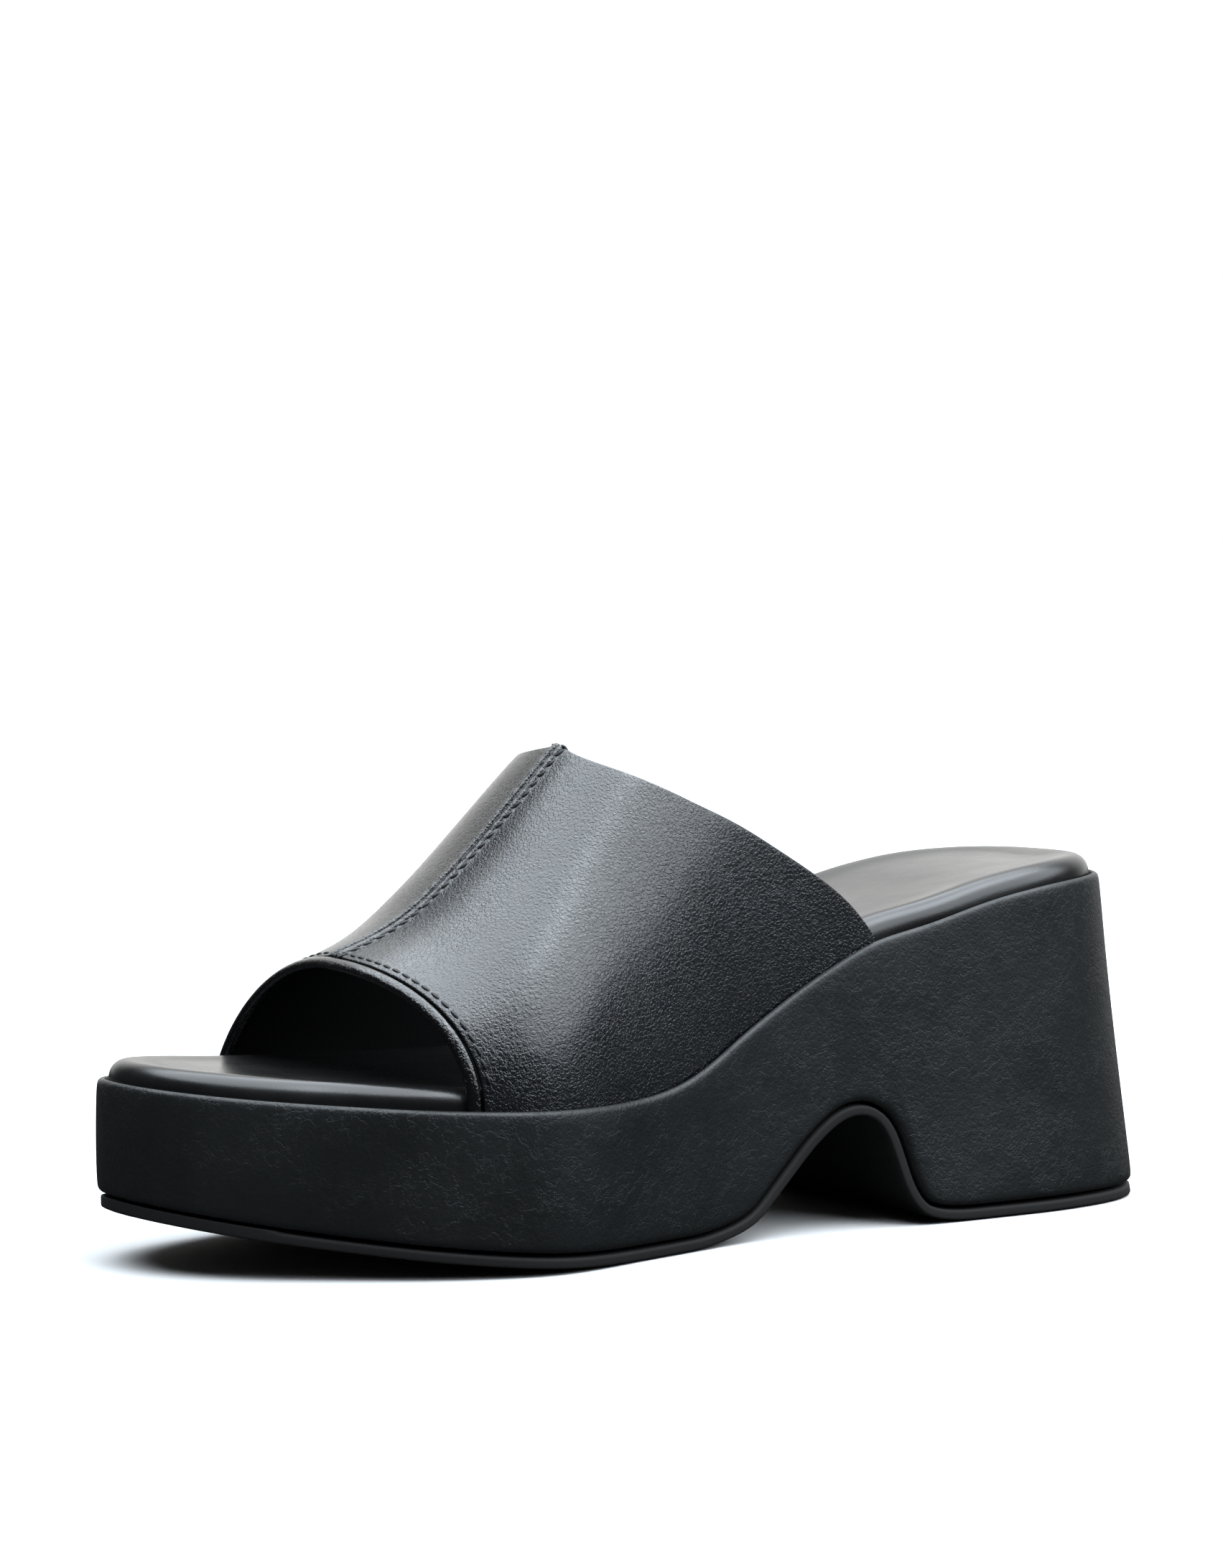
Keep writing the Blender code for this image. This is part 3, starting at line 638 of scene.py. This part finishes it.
def seam_strip(name, side):
    """A puckered strip along one side of the groove; side is 1 or -1."""
    stations = walk(seam, STITCH_PITCH / PUCKER_STEPS)
    bpy.ops.object.select_all(action="DESELECT")
    last = len(stations) - 1
    bpy.ops.mesh.primitive_grid_add(x_subdivisions=last, y_subdivisions=STRIP_STEPS, size=1.0)
    strip = bpy.context.object
    strip.name = name
    for vertex in strip.data.vertices:
        station = round((vertex.co.x + 0.5) * last)
        share = vertex.co.y + 0.5
        point, onward, outward = stations[station]
        aside = side * (STRIP_INNER + (STRIP_OUTER - STRIP_INNER) * share)
        place, normal = on_surface(vamp, point, onward, outward, aside)
        pull = abs(math.cos(math.pi * station / PUCKER_STEPS))
        arch = math.sin(math.pi * share) ** 0.6 if 0 < share < 1 else 0.0
        lift = STRIP_LIFT * arch * (1.0 - PUCKER * pull ** 3 * share) - STRIP_SINK * (1.0 - arch)
        vertex.co = (place or point) + (normal or outward) * lift
    if side > 0:
        strip.data.flip_normals()
    facing = sum(face.normal.dot(from_foot(face.center)) > 0 for face in strip.data.polygons)
    print(name, "has", facing, "of", len(strip.data.polygons), "faces outward")
    apply_modifier(strip, "SUBSURF", levels=1, render_levels=1)
    wear(strip, vamp_leather, "upper")
    return strip


vamp.data.update()
bpy.context.view_layer.update()
seam_strip("seam_strip_outer", 1)
seam_strip("seam_strip_inner", -1)

# %% [markdown]
# ## Stitches
#
# One stitch is modelled as a short length of thread: a small sphere stretched along X whose ends
# dive into the leather. It is copied along both sides of the seam and behind the toe binding,
# turned along the line and set on the surface, and the copies of a row become one piece.

# %% One stitch
STITCH_LENGTH = 2.85 * MM
STITCH_WIDTH = 0.95 * MM
STITCH_HEIGHT = 0.6 * MM
STITCH_DIVE = 0.22 * MM

bpy.ops.object.select_all(action="DESELECT")
bpy.ops.mesh.primitive_uv_sphere_add(
    segments=8, ring_count=6, radius=0.5, rotation=(0.0, math.pi / 2, 0.0)
)
stitch = bpy.context.object
stitch.name = "stitch_pattern"
bpy.ops.object.transform_apply(location=False, rotation=True, scale=False)
bpy.ops.object.mode_set(mode="EDIT")
bpy.ops.mesh.select_all(action="SELECT")
bpy.ops.transform.resize(value=(STITCH_LENGTH, STITCH_WIDTH, STITCH_HEIGHT))
bpy.ops.object.mode_set(mode="OBJECT")
for vertex in stitch.data.vertices:
    vertex.co.z -= STITCH_DIVE * (2 * vertex.co.x / STITCH_LENGTH) ** 4
print("one stitch has", len(stitch.data.polygons), "faces")


# %% [markdown]
# A row is sewn by walking along its line in even steps. Each copy is turned to the line, and the
# seam's two rows lean a little towards each other, as a lockstitch does.

# %% Rows of stitches
def sew(name, places, aside, turn_in=0.0):
    """Copies the stitch to places beside a line on the vamp and joins the copies."""
    row = []
    for point, onward, outward in places:
        place, normal = on_surface(vamp, point, onward, outward, aside)
        if place is None:
            continue
        along = (onward - normal * onward.dot(normal)).normalized()
        along = (Matrix.Rotation(turn_in, 3, normal) @ along).normalized()
        axes = Matrix((along, normal.cross(along), normal)).transposed().to_4x4()
        copy = bpy.data.objects.new(name, stitch.data.copy())
        copy.data.transform(Matrix.Translation(place) @ axes)
        bpy.context.scene.collection.objects.link(copy)
        row.append(copy)
    only(*row)
    bpy.ops.object.join()
    sewn = bpy.context.object
    sewn.name = name
    wear(sewn, thread, "upper")
    print(name, "has", len(row), "stitches")
    return sewn


ROW_ASIDE = 2.6 * MM
TOE_ROW_ASIDE = 1.5 * MM
SEAM_ENDS = 1.4 * MM
TOE_ENDS = 3.0 * MM
TURN_IN = math.radians(7)

seam_places = walk(seam, STITCH_PITCH, SEAM_ENDS, SEAM_ENDS)
sew("seam_stitches_outer", seam_places, ROW_ASIDE, turn_in=TURN_IN)
sew("seam_stitches_inner", seam_places, -ROW_ASIDE, turn_in=-TURN_IN)
toe_places = walk(toe_edge, STITCH_PITCH, TOE_ENDS, TOE_ENDS)
sew("binding_stitches", toe_places, TOE_ROW_ASIDE)
bpy.data.objects.remove(stitch, do_unlink=True)

# %% [markdown]
# ## Toe binding
#
# A strip of thin leather is folded over the raw edge of the toe opening. It is pulled tight over a
# small radius, so it shines more than the vamp and shows a narrow bright line.

# %% Toe binding
binding = copy_of("toe_binding", "toe_opening_binding")
apply_modifier(binding, "SUBSURF", levels=2, render_levels=2)
wear(binding, binding_leather, "toe_binding", "toe_binding")
